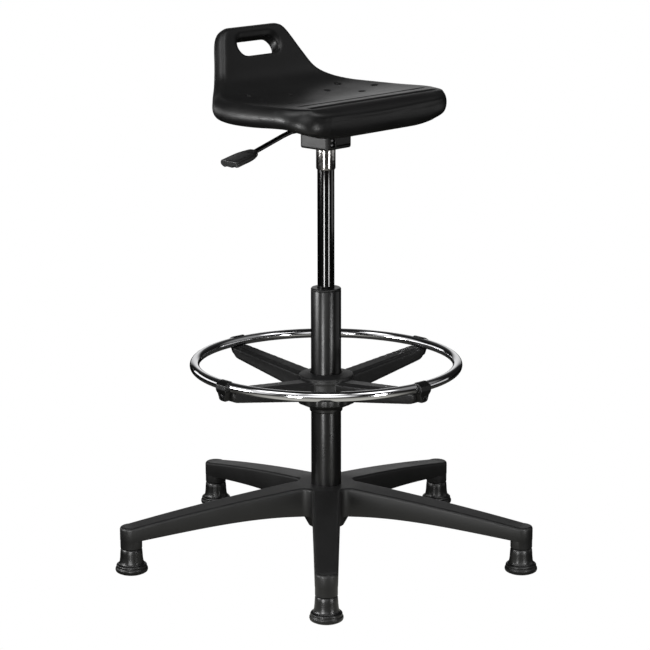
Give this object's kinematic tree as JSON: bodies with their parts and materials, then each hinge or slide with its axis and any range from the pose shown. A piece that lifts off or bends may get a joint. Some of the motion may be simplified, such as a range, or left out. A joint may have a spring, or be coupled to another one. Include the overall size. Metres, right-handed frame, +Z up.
{
  "type": "perch stool",
  "caption": "Tall perch stool: moulded seat with a raised back lip and grip hole, side lever, gas lift, chrome foot ring and star base on glides",
  "frame": {"origin": "on the floor, in the middle of the stool's outline seen from above", "axes": "+Z up; the seat faces -Y; the release lever points to -X, the sitting person's right"},
  "size_m": [0.6788, 0.6892, 0.8735],
  "materials": {
    "nylon": "black glass-filled nylon with a fine moulded grain",
    "seat_foam": "black integral-skin polyurethane foam, satin skin",
    "enamel": "black powder coat, satin gloss",
    "chrome": "polished chrome plate",
    "steel": "bright zinc-plated steel",
    "soft_rubber": "dull soft rubber",
    "acetal": "natural acetal",
    "plywood": "birch plywood stained black"
  },
  "bodies": {
    "base": {"base_star": "nylon", "column_tube": "enamel", "column_end_plate": "steel", "guide_bush": "nylon", "glide_stem_1": "steel", "glide_stem_2": "steel", "glide_stem_3": "steel", "glide_stem_4": "steel", "glide_stem_5": "steel"},
    "glide_1": {"glide_foot_1": "nylon", "glide_sole_1": "soft_rubber"},
    "glide_2": {"glide_foot_2": "nylon", "glide_sole_2": "soft_rubber"},
    "glide_3": {"glide_foot_3": "nylon", "glide_sole_3": "soft_rubber"},
    "glide_4": {"glide_foot_4": "nylon", "glide_sole_4": "soft_rubber"},
    "glide_5": {"glide_foot_5": "nylon", "glide_sole_5": "soft_rubber"},
    "piston": {"piston_rod": "chrome", "piston_head": "steel", "retaining_clip": "steel", "thrust_bearing": "steel", "bump_stop": "soft_rubber"},
    "seat": {"gas_cylinder": "enamel", "rod_guide": "nylon", "valve_body": "acetal", "taper_socket": "chrome", "mechanism_housing": "enamel", "lever_pivot_pin": "steel", "seat_plate": "enamel", "seat_board": "plywood", "seat_foam": "seat_foam", "insert_nut_1": "steel", "insert_nut_2": "steel", "insert_nut_3": "steel", "insert_nut_4": "steel", "seat_screw_1": "steel", "seat_screw_2": "steel", "seat_screw_3": "steel", "seat_screw_4": "steel"},
    "lever": {"lever_rod": "enamel", "lever_handle": "nylon"},
    "release": {"release_pin": "chrome"},
    "collet": {"ring_collet": "acetal"},
    "foot_ring": {"foot_ring_spider": "nylon", "foot_ring_tube": "chrome", "ring_jaw_1": "nylon", "ring_jaw_2": "nylon", "ring_jaw_3": "nylon", "ring_jaw_4": "nylon", "jaw_screw_1": "enamel", "jaw_screw_2": "enamel", "jaw_screw_3": "enamel", "jaw_screw_4": "enamel"},
    "clamp_nut": {"ring_clamp_nut": "nylon"}
  },
  "joints": [
    {"name": "glide_turn_1", "type": "hinge", "parent": "base", "child": "glide_1", "pos_m": [0.31257, 0.02427, 0.03], "axis": [0, 0, 1], "continuous": true},
    {"name": "glide_turn_2", "type": "hinge", "parent": "base", "child": "glide_2", "pos_m": [0.04827, 0.31781, 0.03], "axis": [0, 0, 1], "continuous": true},
    {"name": "glide_turn_3", "type": "hinge", "parent": "base", "child": "glide_3", "pos_m": [-0.31257, 0.15715, 0.03], "axis": [0, 0, 1], "continuous": true},
    {"name": "glide_turn_4", "type": "hinge", "parent": "base", "child": "glide_4", "pos_m": [-0.27129, -0.23568, 0.03], "axis": [0, 0, 1], "continuous": true},
    {"name": "glide_turn_5", "type": "hinge", "parent": "base", "child": "glide_5", "pos_m": [0.11507, -0.3178, 0.03], "axis": [0, 0, 1], "continuous": true},
    {"name": "seat_swivel", "type": "hinge", "parent": "base", "child": "piston", "pos_m": [-0.02159, -0.01085, 0.06], "axis": [0, 0, 1], "continuous": true},
    {"name": "seat_height", "type": "slide", "parent": "piston", "child": "seat", "axis": [0, 0, 1], "range_m": [-0.19, 0]},
    {"name": "lever_lift", "type": "hinge", "parent": "seat", "child": "lever", "pos_m": [-0.04309, -0.01085, 0.7225], "axis": [0, 1, 0], "range_deg": [0, 7], "stiffness_Nm_per_rad": 4, "springref_deg": -5.73},
    {"name": "release_press", "type": "slide", "parent": "seat", "child": "release", "axis": [0, 0, 1], "range_m": [-0.003, 0]},
    {"name": "foot_ring_height", "type": "slide", "parent": "base", "child": "collet", "axis": [0, 0, 1], "range_m": [-0.11, 0.13]},
    {"name": "foot_ring_turn", "type": "hinge", "parent": "collet", "child": "foot_ring", "pos_m": [-0.02159, -0.01085, 0.29], "axis": [0, 0, 1], "continuous": true},
    {"name": "clamp_nut_turn", "type": "hinge", "parent": "foot_ring", "child": "clamp_nut", "pos_m": [-0.02159, -0.01085, 0.265], "axis": [0, 0, 1], "range_deg": [0, 120]}
  ],
  "couplings": [
    {"joint": "release_press", "follows": "lever_lift", "m_per_rad": -0.0215}
  ]
}
